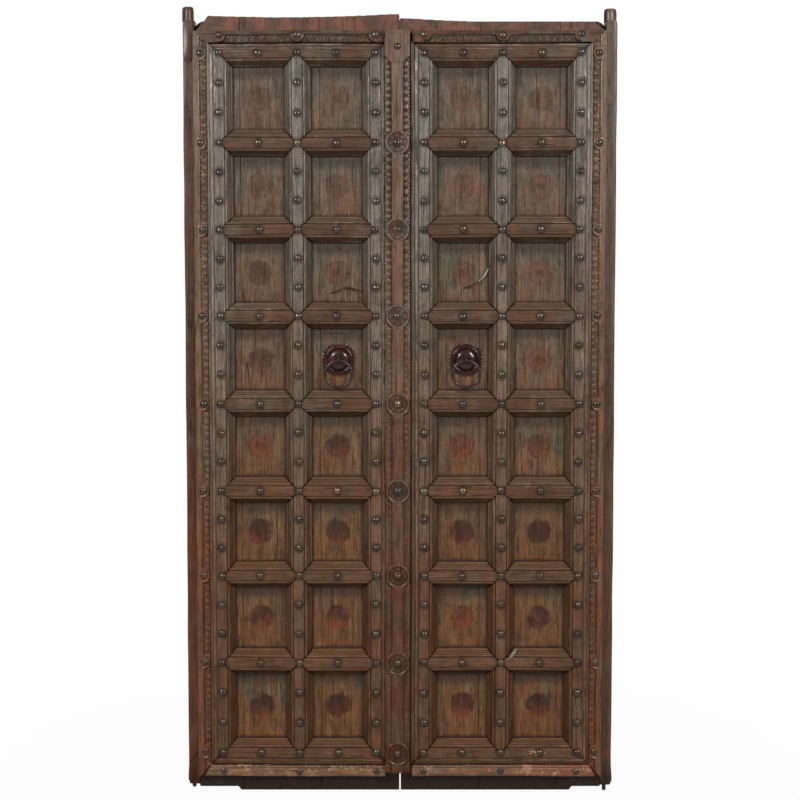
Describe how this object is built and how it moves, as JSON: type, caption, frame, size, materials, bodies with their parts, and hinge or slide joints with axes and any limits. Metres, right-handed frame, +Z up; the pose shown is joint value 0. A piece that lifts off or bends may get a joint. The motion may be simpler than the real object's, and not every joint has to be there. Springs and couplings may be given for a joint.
{
  "type": "double-leaf wooden door",
  "caption": "Old double-leaf wooden door on pivot posts, with nailed moulded coffers over boards, carved borders, a carved cover strip and iron ring pulls.",
  "frame": {"origin": "bottom centre of the closed door, on the plane of the lower tip of the lowest pivot pin", "axes": "+X to the right and +Z up as seen by someone before the carved face, -Y out of the carved face, +Y into the building"},
  "size_m": [1.174, 0.104, 2.15],
  "materials": {
    "board_wood": "bare, weathered brown",
    "lattice_wood": "bare, weathered grey brown",
    "carved_wood": "bare, carved, with old paint in the hollows",
    "ledge_wood": "bare, sawn",
    "post_wood": "bare, weathered, dark grain",
    "nail_iron": "forged, rusted dark brown",
    "pin_iron": "forged, rubbed",
    "pull_iron": "forged, polished by hands"
  },
  "bodies": {
    "pivot_pins": {"left_lower_pin": "pin_iron", "right_lower_pin": "pin_iron"},
    "right_leaf": {"right_bottom_border": "carved_wood", "right_bottom_ledge": "ledge_wood", "right_dome": "pull_iron", "right_inner_board": "board_wood", "right_lower_ledge": "ledge_wood", "right_meeting_stile": "lattice_wood", "right_middle_board": "board_wood", "right_muntins": "lattice_wood", "right_nails": "nail_iron", "right_outer_board": "board_wood", "right_outer_stile": "lattice_wood", "right_pivot_post": "post_wood", "right_rail_1": "lattice_wood", "right_rail_2": "lattice_wood", "right_rail_3": "lattice_wood", "right_rail_4": "lattice_wood", "right_rail_5": "lattice_wood", "right_rail_6": "lattice_wood", "right_rail_7": "lattice_wood", "right_rail_8": "lattice_wood", "right_rail_9": "lattice_wood", "right_rosette": "pull_iron", "right_side_border": "carved_wood", "right_staple": "pull_iron", "right_top_border": "carved_wood", "right_top_ledge": "ledge_wood", "right_upper_ledge": "ledge_wood"},
    "left_leaf": {"left_bottom_border": "carved_wood", "left_bottom_ledge": "ledge_wood", "left_dome": "pull_iron", "left_inner_board": "board_wood", "left_lower_ledge": "ledge_wood", "left_meeting_stile": "lattice_wood", "left_middle_board": "board_wood", "left_muntins": "lattice_wood", "left_nails": "nail_iron", "left_outer_board": "board_wood", "left_outer_stile": "lattice_wood", "left_pivot_post": "post_wood", "left_rail_1": "lattice_wood", "left_rail_2": "lattice_wood", "left_rail_3": "lattice_wood", "left_rail_4": "lattice_wood", "left_rail_5": "lattice_wood", "left_rail_6": "lattice_wood", "left_rail_7": "lattice_wood", "left_rail_8": "lattice_wood", "left_rail_9": "lattice_wood", "left_rosette": "pull_iron", "left_side_border": "carved_wood", "left_staple": "pull_iron", "left_top_border": "carved_wood", "left_top_ledge": "ledge_wood", "left_upper_ledge": "ledge_wood", "astragal": "carved_wood"},
    "right_pull": {"right_ring": "pull_iron"},
    "left_pull": {"left_ring": "pull_iron"}
  },
  "joints": [
    {"name": "right_leaf_pivot", "type": "hinge", "parent": "pivot_pins", "child": "right_leaf", "pos_m": [0.566, 0.024, 0], "axis": [0, 0, -1], "range_deg": [0, 100]},
    {"name": "left_leaf_pivot", "type": "hinge", "parent": "pivot_pins", "child": "left_leaf", "pos_m": [-0.5705, 0.024, 0], "axis": [0, 0, 1], "range_deg": [0, 88.5]},
    {"name": "right_ring_swing", "type": "hinge", "parent": "right_leaf", "child": "right_pull", "pos_m": [0.179, -0.0293, 1.201], "axis": [-1, 0, 0], "range_deg": [0, 120]},
    {"name": "left_ring_swing", "type": "hinge", "parent": "left_leaf", "child": "left_pull", "pos_m": [-0.166, -0.0293, 1.201], "axis": [-1, 0, 0], "range_deg": [0, 120]}
  ],
  "couplings": [
    {"joint": "left_leaf_pivot", "follows": "right_leaf_pivot", "ratio": 0.88}
  ]
}
